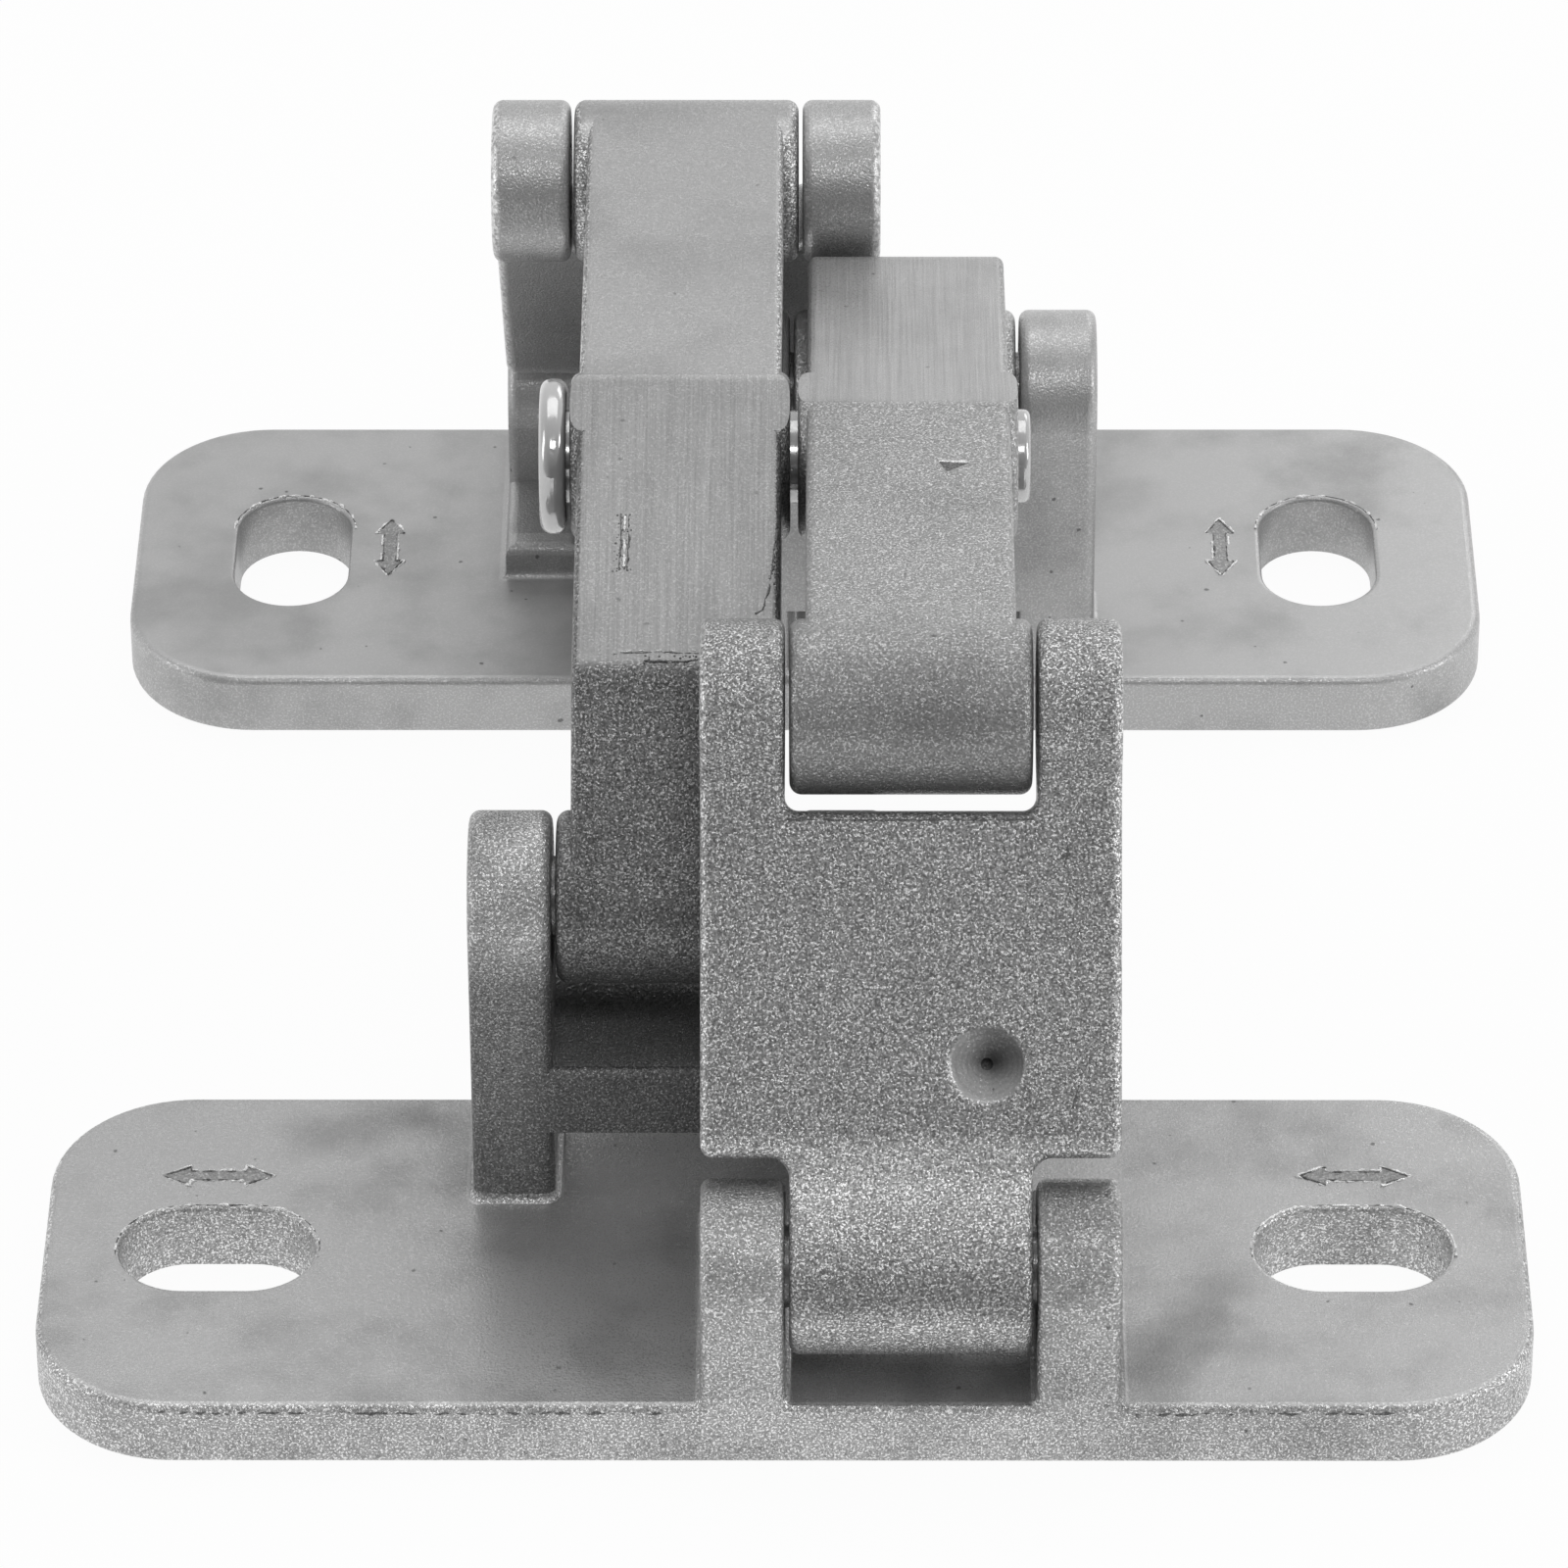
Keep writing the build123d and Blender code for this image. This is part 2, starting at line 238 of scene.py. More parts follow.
def end_group(group, results):
    """Wire the finished values to the group's outputs."""
    node(group, "NodeGroupOutput", results)
    print("group", group.name, "nodes:", len(group.nodes))


def noise(tree, place, scale, detail=2.0, roughness=0.5):
    """Noise value around 0.5."""
    return node(tree, "ShaderNodeTexNoise", {"Vector": place, "Scale": scale, "Detail": detail,
                                             "Roughness": roughness}).outputs["Fac"]


# %% [markdown]
# Cast metal that has been blasted is covered in tiny dents, each a fifth of a millimetre across, that
# catch the light one by one. Modelled dents would take millions of faces, and a flat speckled colour
# would look printed, so this group gives both a height for the bump and a shade that varies from grain
# to grain: a dull mottle of the grain's own tone, with a sharp painted glint where another noise runs high.

# %% Group: blasted grain
dent_share = 0.5
glint_fineness = 1.3
glint_from, glint_full = 0.54, 0.66
mottle_low, mottle_high = 0.26, 0.52

grain_group, given = start_group("blasted_grain", {"Grain Size": 0.2 * mm}, ("Height", "Shade"))
place = object_place(grain_group)
grains_per_metre = math_node(grain_group, "DIVIDE", 1.0, given["Grain Size"])
dents = node(grain_group, "ShaderNodeTexVoronoi", {"Vector": place, "Scale": grains_per_metre,
                                                   "Randomness": 1.0}, feature="F1")
swirl = noise(grain_group, place, grains_per_metre, 3.0, 0.6)
dent_depth = math_node(grain_group, "MULTIPLY", dents.outputs["Distance"], dent_share)
height = math_node(grain_group, "ADD", dent_depth, swirl)
glints_per_metre = math_node(grain_group, "MULTIPLY", grains_per_metre, glint_fineness)
glints = ramp(grain_group, noise(grain_group, place, glints_per_metre, 1.0, 0.5), glint_from, glint_full)
mottle = ramp(grain_group, swirl, 0.36, 0.64, mottle_low, mottle_high, smooth=False)
end_group(grain_group, {"Height": height, "Shade": math_node(grain_group, "ADD", mottle, glints)})

# %% [markdown]
# Flats that were run against an abrasive belt carry fine straight lines. A wave pattern would space them
# evenly, which a belt doesn't. The same noise, squeezed across the arm and drawn out along it, gives
# lines that start and stop anywhere.

# %% Group: belt lines
line_spacing = 0.16 * mm
line_length = 14 * mm
belt_group, given = start_group("belt_lines", {"Line Spacing": line_spacing}, ("Height", "Shade"))
place = object_place(belt_group)
lines_per_metre = math_node(belt_group, "DIVIDE", 1.0, given["Line Spacing"])
squeeze = node(belt_group, "ShaderNodeCombineXYZ", {"X": lines_per_metre, "Y": 1 / line_length,
                                                    "Z": 1 / line_length}).outputs[0]
drawn_out = node(belt_group, "ShaderNodeVectorMath", {0: place, 1: squeeze}, operation="MULTIPLY").outputs[0]
fine = noise(belt_group, drawn_out, 1.0, 3.0, 0.65)
end_group(belt_group, {"Height": fine, "Shade": ramp(belt_group, fine, 0.3, 0.7, smooth=False)})

# %% [markdown]
# Smooth cast faces are never even. Broad clouds of oxide darken them, and small gas pits dot them.
# The clouds are slow noise. The pits are the middles of Voronoi cells, of which only some are kept, each
# with its own size. Noise can't make such round dots, and dots on a grid would show their rows.

# %% Groups: oxide clouds and gas pits
cloud_size = 11 * mm
cloud_group, given = start_group("oxide_clouds", {"Cloud Size": cloud_size}, ("Mask",))
clouds_per_metre = math_node(cloud_group, "DIVIDE", 1.0, given["Cloud Size"])
drifts = noise(cloud_group, object_place(cloud_group), clouds_per_metre, 4.0, 0.55)
end_group(cloud_group, {"Mask": ramp(cloud_group, drifts, 0.42, 0.72)})

pit_spacing = 2.1 * mm
pit_wobble = 0.3 * mm
pits_left_out = 0.4
pit_group, given = start_group("gas_pits", {"Spacing": pit_spacing, "Pit Size": 0.1}, ("Mask",))
place = object_place(pit_group)
pits_per_metre = math_node(pit_group, "DIVIDE", 1.0, given["Spacing"])
wobble = node(pit_group, "ShaderNodeTexNoise", {"Vector": place, "Scale": 2400.0}).outputs["Color"]
uneven = node(pit_group, "ShaderNodeVectorMath", {0: wobble, 1: (pit_wobble,) * 3, 2: place},
              operation="MULTIPLY_ADD").outputs[0]
cells = node(pit_group, "ShaderNodeTexVoronoi", {"Vector": uneven, "Scale": pits_per_metre}, feature="F1")
draw = node(pit_group, "ShaderNodeSeparateColor", {"Color": cells.outputs["Color"]}).outputs
pit_radius = math_node(pit_group, "MULTIPLY", given["Pit Size"], draw["Red"])
from_pit = math_node(pit_group, "DIVIDE", cells.outputs["Distance"], pit_radius)
inside = math_node(pit_group, "SUBTRACT", 1.0, ramp(pit_group, from_pit, 0.6, 1.3))
kept = math_node(pit_group, "GREATER_THAN", draw["Green"], pits_left_out)
end_group(pit_group, {"Mask": math_node(pit_group, "MULTIPLY", inside, kept)})

# %% [markdown]
# A material is put together from values and masks: numbers from 0 to 1 that say where something holds.
# These helpers place a group, multiply and mix such values, and end in the shader, which keeps its own
# plain settings, such as how metallic the surface is.


# %% Helpers for materials
def use(tree, group, **values):
    """Place a group in a material and fill its inputs."""
    made = node(tree, "ShaderNodeGroup", node_tree=group)
    fill(tree, made, {label.replace("_", " ").title(): value for label, value in values.items()})
    return made.outputs


def grey(tree, level):
    """Colour socket with one grey level."""
    return node(tree, "ShaderNodeCombineColor", {"Red": level, "Green": level, "Blue": level}).outputs[0]


def scaled(tree, mask, low, high):
    """Value that runs from low to high as a mask goes from 0 to 1."""
    return ramp(tree, mask, 0.0, 1.0, low, high, smooth=False)


def product(tree, *values):
    """Product of several values."""
    total = values[0]
    for value in values[1:]:
        total = math_node(tree, "MULTIPLY", total, value)
    return total


def blended(tree, mask, low, high):
    """Mix of two values by a mask."""
    return node(tree, "ShaderNodeMix", {"Factor": mask, "A": low, "B": high}).outputs[0]


def axis_of(tree, output, letter):
    """One coordinate of a texture coordinate, either of the place or of the surface's direction."""
    vector = node(tree, "ShaderNodeTexCoord").outputs[output]
    return node(tree, "ShaderNodeSeparateXYZ", {0: vector}).outputs[letter]


def new_material(name):
    """Empty material and its tree."""
    material = bpy.data.materials.new(name)
    material.use_nodes = True
    material.node_tree.nodes.clear()
    return material, material.node_tree


def finish_metal(tree, shade, rough, height, depth, metallic):
    """Shader and output of a metal, from its brightness, roughness and bump height."""
    bump = node(tree, "ShaderNodeBump", {"Height": height, "Distance": depth, "Strength": 1.0}).outputs[0]
    shader = node(tree, "ShaderNodeBsdfPrincipled", {"Base Color": grey(tree, shade), "Roughness": rough,
                                                     "Metallic": metallic, "Normal": bump})
    node(tree, "ShaderNodeOutputMaterial", {"Surface": shader.outputs[0]})
    print("material nodes:", len(tree.nodes))


# %% [markdown]
# One function makes every metal but the arms', which have one of their own further down. It mixes grain,
# clouds and pits into a base colour, a roughness and a bump. Where a piece isn't alike all over, a local
# rule answers with a painted brightness, light and shade put into the colour, and with what grain is left
# at each place. The pins and the rivet need no such rule: they are turned steel, nearly without grain.

# %% Cast metal
flat_from = 0.80
flat_full = 0.96
metal_share = 0.62
rough_spread = 0.12


def cast_metal(name, level, grain, grain_depth, sparkle, clouds, pits, roughness, local=None):
    """Raw casting: metal with grain, clouds of oxide and pits, and a local rule of painted light and shade
    where parts of it differ.
    """
    material, tree = new_material(name)
    grains = use(tree, grain_group, grain_size=grain)
    cloud = use(tree, cloud_group)["Mask"]
    pit = use(tree, pit_group)["Mask"]
    # The local rule's brightness is painted light and shade
    painted_shading, grain_left = local(tree) if local else (1.0, 1.0)
    speck = math_node(tree, "MULTIPLY_ADD", scaled(tree, grains["Shade"], -sparkle, sparkle), grain_left, 1.0)
    shade = product(tree, level, speck, painted_shading, scaled(tree, cloud, 1.0, 1 - clouds),
                    scaled(tree, pit, 1.0, 1 - pits))
    rough = math_node(tree, "ADD", roughness, scaled(tree, grains["Shade"], rough_spread, -rough_spread))
    finish_metal(tree, shade, rough, product(tree, grains["Height"], grain_left), grain_depth, metal_share)
    return material


pin_steel = cast_metal("pin_steel", level=0.5, grain=0.3 * mm, grain_depth=0.004 * mm, sparkle=0.04,
                       clouds=0.1, pits=0.3, roughness=0.38)
rivet_polished = cast_metal("rivet_polished", level=0.57, grain=0.4 * mm, grain_depth=0.002 * mm,
                            sparkle=0.02, clouds=0.1, pits=0.2, roughness=0.16)

# %% [markdown]
# The plates are nearly smooth on their own tops. The rule below also paints light and shade into each
# part of a plate: a darker top, painted shade on the lower part of its tall ears, deepest on the front of
# the stop beam between them, and painted shade on its low ears, more on their tops. These shares follow
# the picture, whose studio can't be rebuilt lamp by lamp, and aren't facts about the metal. One rule
# serves both plates, because it counts how far a place is from the middle of the hinge, whichever way. A
# rule also stays sharp at any distance, which a painted picture wouldn't.

# %% Sizes for the plates
plate_top = 5.3
above_top = (plate_top + 0.7) * mm
tall_ear_ends = 45 * mm
beam_front = 40.5 * mm
shade_starts_under = 30 * mm
shade_full_under = 24 * mm
beam_middle = -8.6 * mm
beam_half = 10.4 * mm
beam_fade = 2.0 * mm
# Shares of painted shade: the beam's front and the rest of it, the low ears and their tops
beam_front_shade = 0.33
beam_rest_shade = 0.8
low_ear_shade = 0.88
low_ear_top_shade = 0.75
top_grain_left = 0.2
print("own top of a plate lies under, in mm:", above_top / mm)

# %% [markdown]
# Three long soft bands of painted shade cross the front plate; the one beside the right low ear is a
# painted reflection of that ear. Each is a band between two places, faded at its sides and ends. The place
# is shaken by a slow noise first, so that the band's outline wavers.

# %% Bands of painted shade
# Start and end in x and y, and half width, of each band of painted shade
shade_bands = (((25.7, -63.4), (32.5, -49.3), 2.6),
          ((-37.6, -33.7), (-27.4, -30.1), 2.4),
          ((-25.9, -41.0), (-21.4, -33.1), 1.8))
shade_band_share = 0.72
shade_band_wobble = 3.0 * mm


def shade_band(tree, start, end, half_width):
    """Soft mask of a band of painted shade between two places in x and y, all in mm."""
    start, end = (Vector((*place, 0.0)) * mm for place in (start, end))
    length = (end - start).length
    way = (end - start).normalized()
    place = object_place(tree)
    wobble = node(tree, "ShaderNodeTexNoise", {"Vector": place, "Scale": 350.0}).outputs["Color"]
    spread = Vector((shade_band_wobble, shade_band_wobble, 0.0))
    shaken = node(tree, "ShaderNodeVectorMath", {0: wobble, 1: spread, 2: place},
                  operation="MULTIPLY_ADD").outputs[0]
    offset = node(tree, "ShaderNodeVectorMath", {0: shaken, 1: start + spread / 2},
                  operation="SUBTRACT").outputs[0]
    lengthways, sideways = (node(tree, "ShaderNodeVectorMath", {0: offset, 1: direction},
                                 operation="DOT_PRODUCT").outputs["Value"]
                            for direction in (way, Vector((way.y, -way.x, 0.0))))
    soft = half_width * mm
    within = ramp(tree, math_node(tree, "ABSOLUTE", sideways), 0.2 * soft, 1.6 * soft, 1.0, 0.0)
    begun = ramp(tree, lengthways, -soft, soft)
    not_over = ramp(tree, lengthways, length - soft, length + soft, 1.0, 0.0)
    return product(tree, within, begun, not_over)


print("stains:", len(shade_bands))

# %% [markdown]
# The rule for a plate is written once and asked for twice. Python remembers the shares that it is given
# and hands back a function, which the metal calls when it builds its own tree.


# %% Plate metal
def plate_parts(top_shade, ear_shade, shade_bands_given):
    """Rule for the painted brightness and the grain of each part of a plate."""
    def rule(tree):
        """Painted brightness, and what grain is left, as values of the given tree."""
        across, deep, height = (axis_of(tree, "Object", letter) for letter in "XYZ")
        upward = ramp(tree, axis_of(tree, "Normal", "Z"), flat_from, flat_full)
        own_top = product(tree, upward, math_node(tree, "LESS_THAN", height, above_top))
        raised = math_node(tree, "GREATER_THAN", height, above_top)
        from_middle = math_node(tree, "ABSOLUTE", deep)
        inward = math_node(tree, "LESS_THAN", from_middle, tall_ear_ends)
        lower = ramp(tree, height, shade_full_under, shade_starts_under, 1.0, 0.0)
        tall = product(tree, raised, inward, lower)
        along_front = product(tree, across, math_node(tree, "SIGN", deep), -1.0)
        from_beam = math_node(tree, "ABSOLUTE", math_node(tree, "SUBTRACT", along_front, beam_middle))
        near_beam = ramp(tree, from_beam, beam_half - beam_fade, beam_half + beam_fade, 1.0, 0.0)
        beam = product(tree, tall, near_beam)
        front = math_node(tree, "GREATER_THAN", from_middle, beam_front)
        beam_shade = blended(tree, front, beam_rest_shade, beam_front_shade)
        low_ears = product(tree, raised, math_node(tree, "SUBTRACT", 1.0, inward))
        painted_shares = [scaled(tree, own_top, 1.0, top_shade),
                  blended(tree, tall, 1.0, blended(tree, beam, ear_shade, beam_shade)),
                  scaled(tree, low_ears, 1.0, low_ear_shade),
                  scaled(tree, product(tree, low_ears, upward), 1.0, low_ear_top_shade)]
        painted_shares += [scaled(tree, shade_band(tree, *one), 1.0, shade_band_share) for one in shade_bands_given]
        return product(tree, *painted_shares), scaled(tree, own_top, 1.0, top_grain_left)
    return rule


plate_front = cast_metal("plate_front", level=0.54, grain=0.22 * mm, grain_depth=0.08 * mm, sparkle=0.9,
                         clouds=0.28, pits=0.6, roughness=0.34, local=plate_parts(0.83, 0.52, shade_bands))
plate_rear = cast_metal("plate_rear", level=0.51, grain=0.2 * mm, grain_depth=0.03 * mm, sparkle=0.2,
                        clouds=0.26, pits=0.6, roughness=0.4, local=plate_parts(0.9, 0.88, ()))

# %% [markdown]
# The dimple in a link is smooth and ringed like a drilled bowl. It has painted shade towards its middle
# and on one side, and a painted highlight, a bright crescent, on the other side of its rim. The bowl itself
# is in the solid. Its rings are too fine for it, and need a distance measured on the leaning face, so a
# group takes two distances in the face's own plane, across and along, and answers with a shade and with
# what grain is left.

# %% Group: drilled dimple
dimple_radius = 2.85 * mm
funnel_shift = 0.35 * mm
ring_rate = 46.0
ring_depth = 0.07
bowl_grain_left = 0.2
dimple_group, given = start_group("drilled_dimple", {"Across": 0.0, "Along": 0.0, "Radius": dimple_radius},
                                  ("Shade", "Grain Left"))
flat_place = node(dimple_group, "ShaderNodeCombineXYZ", {"X": given["Across"],
                                                         "Y": given["Along"]}).outputs[0]
far = node(dimple_group, "ShaderNodeVectorMath", {0: flat_place}, operation="LENGTH").outputs["Value"]
far = math_node(dimple_group, "DIVIDE", far, given["Radius"])
inside = ramp(dimple_group, far, 0.9, 1.02, 1.0, 0.0)
# Painted shade towards the middle and on one side, and a painted highlight along the rim's other side
uphill = node(dimple_group, "ShaderNodeVectorMath", {0: flat_place, 1: (funnel_shift, funnel_shift, 0.0)},
              operation="SUBTRACT").outputs[0]
from_funnel = node(dimple_group, "ShaderNodeVectorMath", {0: uphill}, operation="LENGTH").outputs["Value"]
from_funnel = math_node(dimple_group, "DIVIDE", from_funnel, given["Radius"])
funnel_shade = ramp(dimple_group, from_funnel, 0.0, 0.9, 1.0, 0.0)
diagonal = math_node(dimple_group, "ADD", given["Across"], given["Along"])
sideways = math_node(dimple_group, "DIVIDE", diagonal, given["Radius"])
rings = math_node(dimple_group, "SINE", math_node(dimple_group, "MULTIPLY", far, ring_rate))
rim_highlight = product(dimple_group, ramp(dimple_group, far, 0.82, 0.97), ramp(dimple_group, far, 1.0, 1.1, 1.0, 0.0),
              ramp(dimple_group, sideways, -1.2, 0.1, 1.0, 0.0))
bowl_shade_and_rings = product(dimple_group, scaled(dimple_group, funnel_shade, 1.0, 0.1),
               scaled(dimple_group, sideways, 1.0, 0.45),
               math_node(dimple_group, "MULTIPLY_ADD", rings, ring_depth, 1.0))
shade = math_node(dimple_group, "ADD", blended(dimple_group, inside, 1.0, bowl_shade_and_rings),
                  scaled(dimple_group, rim_highlight, 0.0, 0.5))
end_group(dimple_group, {"Shade": shade, "Grain Left": scaled(dimple_group, inside, 1.0, bowl_grain_left)})

# %% [markdown]
# The rule for a link measures along the leaning casting, up from its lower pin, and across from its
# middle line. It paints soft bands of light and shade round the neck and the knuckle, and a painted
# highlight on the outer few tenths of a millimetre on both sides in broken bits, which from the front
# reads as bright edges. It takes in the side walls too, which look speckled from the side. Like the
# plates' shares, these are painted light and shade and follow the picture.

# %% Link metal
link_lean = math.radians(33.93)
lean_sin, lean_cos = math.sin(link_lean), math.cos(link_lean)
link_foot = (59.27 * mm, 13.3 * mm)
dimple_place = (14.1 * mm, 14.8 * mm)
link_middle = 8.6 * mm
link_half = 15.25 * mm
# Width and strength of the painted highlight along both long edges of a link
edge_highlight_width = 0.7 * mm
edge_highlight_share = 1.7

# Lower and upper end of each soft step of painted light and shade along the link, and the brightness under
# and above it
painted_knuckle_bands = ((-4.0, -2.6, 1.15, 0.75), (-1.8, 1.0, 1.0, 1.35),
                 (1.0, 6.5, 1.0, 1.4), (8.2, 10.2, 1.0, 0.62))


def link_parts(side):
    """Rule for the painted brightness and the grain of the link on one side of the hinge, front -1 or rear 1.
    """
    def rule(tree):
        """Painted brightness, and what grain is left, as values of the given tree."""
        across, deep, height = (axis_of(tree, "Object", letter) for letter in "XYZ")
        deeper = math_node(tree, "MULTIPLY_ADD", deep, -side, link_foot[0])
        higher = math_node(tree, "SUBTRACT", height, link_foot[1])
        along = math_node(tree, "ADD", product(tree, deeper, lean_sin), product(tree, higher, lean_cos))
        outward = math_node(tree, "SUBTRACT", product(tree, higher, lean_sin),
                            product(tree, deeper, lean_cos))
        on_face = math_node(tree, "GREATER_THAN", outward, 0.0)
        dimple = use(tree, dimple_group, radius=dimple_radius,
                     across=math_node(tree, "MULTIPLY_ADD", across, -side, -dimple_place[0]),
                     along=math_node(tree, "SUBTRACT", along, dimple_place[1]))
        off_middle = math_node(tree, "MULTIPLY_ADD", across, -side, -link_middle)
        from_middle = math_node(tree, "ABSOLUTE", off_middle)
        on_edge = ramp(tree, from_middle, link_half - edge_highlight_width, link_half - edge_highlight_width / 2)
        broken = ramp(tree, noise(tree, object_place(tree), 2500.0), 0.42, 0.55)
        painted_shares = [blended(tree, on_face, 1.0, dimple["Shade"]),
                  scaled(tree, product(tree, on_edge, broken), 1.0, edge_highlight_share)]
        painted_shares += [ramp(tree, along, low * mm, high * mm, under, above)
                   for low, high, under, above in painted_knuckle_bands]
        return product(tree, *painted_shares), blended(tree, on_face, 1.0, dimple["Grain Left"])
    return rule


link_front = cast_metal("link_front", level=0.39, grain=0.22 * mm, grain_depth=0.1 * mm, sparkle=1.3,
                        clouds=0.1, pits=0.3, roughness=0.34, local=link_parts(-1))
link_rear = cast_metal("link_rear", level=0.5, grain=0.2 * mm, grain_depth=0.04 * mm, sparkle=0.3,
                       clouds=0.1, pits=0.3, roughness=0.36, local=link_parts(1))

# %% [markdown]
# Each arm is blasted all over, except where its top was run against a belt, between the knee and the
# ridge. There the fine lines take over. On the left arm the slope behind the ridge is smooth cast
# instead. An arm has one brightness before the far end of its belt-ground stretch and another behind it,
# a share for that stretch, and one for its near knuckle. These are painted light and shade and follow
# the picture too: the near part is painted darker than the far part, and the right arm's near knuckle
# darker still.

# %% Arm metal
arm_grain = 0.22 * mm
arm_grain_depth = 0.07 * mm
arm_roughness = 0.36
arm_rough_spread = 0.1
belt_soft = 0.8 * mm
belt_grain_left = 0.1
belt_streak = 0.16
belt_line_height = 0.25
smooth_slope_takes = 0.8
near_knuckle = -39 * mm
knuckle_fade = 6 * mm
arm_clouds = 0.16
arm_pits = 0.4


def between(tree, value, low, high):
    """Mask of a band, with soft ends."""
    rise = ramp(tree, value, low - belt_soft, low + belt_soft)
    fall = ramp(tree, value, high - belt_soft, high + belt_soft, 1.0, 0.0)
    return product(tree, rise, fall)


def arm_metal(name, painted_levels, sparkle, belt_share, knuckle_shade, belt_from, belt_to, far_smooth):
    """Arm casting with a belt-ground stretch of its top, and one painted brightness on either side of its
    end.
    """
    material, tree = new_material(name)
    grains = use(tree, grain_group, grain_size=arm_grain)
    lines = use(tree, belt_group)
    cloud = use(tree, cloud_group)["Mask"]
    pit = use(tree, pit_group)["Mask"]
    along = axis_of(tree, "Object", "Y")
    up = ramp(tree, axis_of(tree, "Normal", "Z"), flat_from, flat_full)
    belted = product(tree, between(tree, along, belt_from, belt_to), up)
    beyond = product(tree, ramp(tree, along, belt_to - belt_soft, belt_to + belt_soft), up, far_smooth)
    grain_left = math_node(tree, "SUBTRACT", scaled(tree, belted, 1.0, belt_grain_left),
                           product(tree, beyond, smooth_slope_takes))
    speck = math_node(tree, "MULTIPLY_ADD", scaled(tree, grains["Shade"], -sparkle, sparkle), grain_left, 1.0)
    streak = math_node(tree, "MULTIPLY_ADD", scaled(tree, lines["Shade"], -belt_streak, belt_streak),
                       belted, 1.0)
    level = scaled(tree, ramp(tree, along, belt_to - belt_soft, belt_to + belt_soft), *painted_levels)
    shade = product(tree, level, speck, streak, scaled(tree, belted, 1.0, belt_share),
                    ramp(tree, along, near_knuckle, near_knuckle + knuckle_fade, knuckle_shade, 1.0),
                    scaled(tree, cloud, 1.0, 1 - arm_clouds), scaled(tree, pit, 1.0, 1 - arm_pits))
    rough = math_node(tree, "ADD", arm_roughness,
                      scaled(tree, grains["Shade"], arm_rough_spread, -arm_rough_spread))
    height = math_node(tree, "ADD", product(tree, grains["Height"], grain_left),
                       product(tree, lines["Height"], belted, belt_line_height))
    finish_metal(tree, shade, rough, height, arm_grain_depth, metal_share)
    return material


knee_y = 28.65 * mm
ridge_y = 1.8 * mm
# Near and far levels and the near knuckle's share are painted shade
left_arm_metal = arm_metal("left_arm_metal", painted_levels=(0.185, 0.41), sparkle=1.3, belt_share=1.46,
                           knuckle_shade=1.0, belt_from=-knee_y, belt_to=ridge_y, far_smooth=1.0)
right_arm_metal = arm_metal("right_arm_metal", painted_levels=(0.365, 0.44), sparkle=0.75, belt_share=1.2,
                            knuckle_shade=0.78, belt_from=-ridge_y, belt_to=knee_y, far_smooth=0.0)


# %% [markdown]
# A solid shows the materials in its mesh's list. The solids come with plain ones, which are cleared
# first. Their shape isn't touched.


# %% Dress the solids
def dress(names, material):
    """Give CAD solids a material."""
    for name in names:
        nodes[name].data.materials.clear()
        nodes[name].data.materials.append(material)


dress(["front_mounting_plate"], plate_front)
dress(["rear_mounting_plate"], plate_rear)
dress(["front_link"], link_front)
dress(["rear_link"], link_rear)
dress(["left_arm"], left_arm_metal)
dress(["right_arm"], right_arm_metal)
dress(["centre_rivet"], rivet_polished)
dress([name for name in nodes if "pin" in name], pin_steel)
print("dressed:", sorted(nodes))

# %% [markdown]
# The marks left by tools are real geometry, because a bump can't throw a shadow or stand out at an edge.
# Geometry Nodes make them. A tree takes a mesh and some named numbers and hands back the finished mesh.
# Two helpers open such a tree and close it. The closing one makes copies into real faces, because only
# real faces leave Blender with the model.


# %% Helpers for trees
def start_tree(name, numbers):
    """New Geometry Nodes tree with a geometry, named numbers and a material as inputs."""
    tree = bpy.data.node_groups.new(name, "GeometryNodeTree")
    tree.interface.new_socket("Geometry", in_out="INPUT", socket_type="NodeSocketGeometry")
    for label in numbers:
        tree.interface.new_socket(label, in_out="INPUT", socket_type="NodeSocketFloat")
    tree.interface.new_socket("Material", in_out="INPUT", socket_type="NodeSocketMaterial")
    tree.interface.new_socket("Geometry", in_out="OUTPUT", socket_type="NodeSocketGeometry")
    return tree, tree.nodes.new("NodeGroupInput").outputs


def end_tree(tree, geometry, material):
    """Make instances real, paint them and end the tree."""
    real = node(tree, "GeometryNodeRealizeInstances", {"Geometry": geometry}).outputs[0]
    smooth = node(tree, "GeometryNodeSetShadeSmooth", {"Geometry": real}).outputs[0]
    painted = node(tree, "GeometryNodeSetMaterial", {"Geometry": smooth, "Material": material}).outputs[0]
    node(tree, "NodeGroupOutput", {"Geometry": painted})
    print("tree", tree.name, "nodes:", len(tree.nodes))


# %% [markdown]
# Most marks are burrs and scored lines: a thin bead that follows a line, fat in one place and gone in
# the next. One tree makes them all. It takes a line, walks along it in short steps, gives every step its
# own thickness, and pushes it a little off the line. Where the bead gets thin it is too small to see, so
# a ragged line looks broken.

# %% Tree: ragged bead
bead_tree, given = start_tree("ragged_bead", ("Bead Radius", "Raggedness", "Step", "Wander", "Seed"))
wave_scale = 1400.0
wave_low, wave_high = 0.38, 0.62
thinnest_share = 0.02
bead_sides = 6

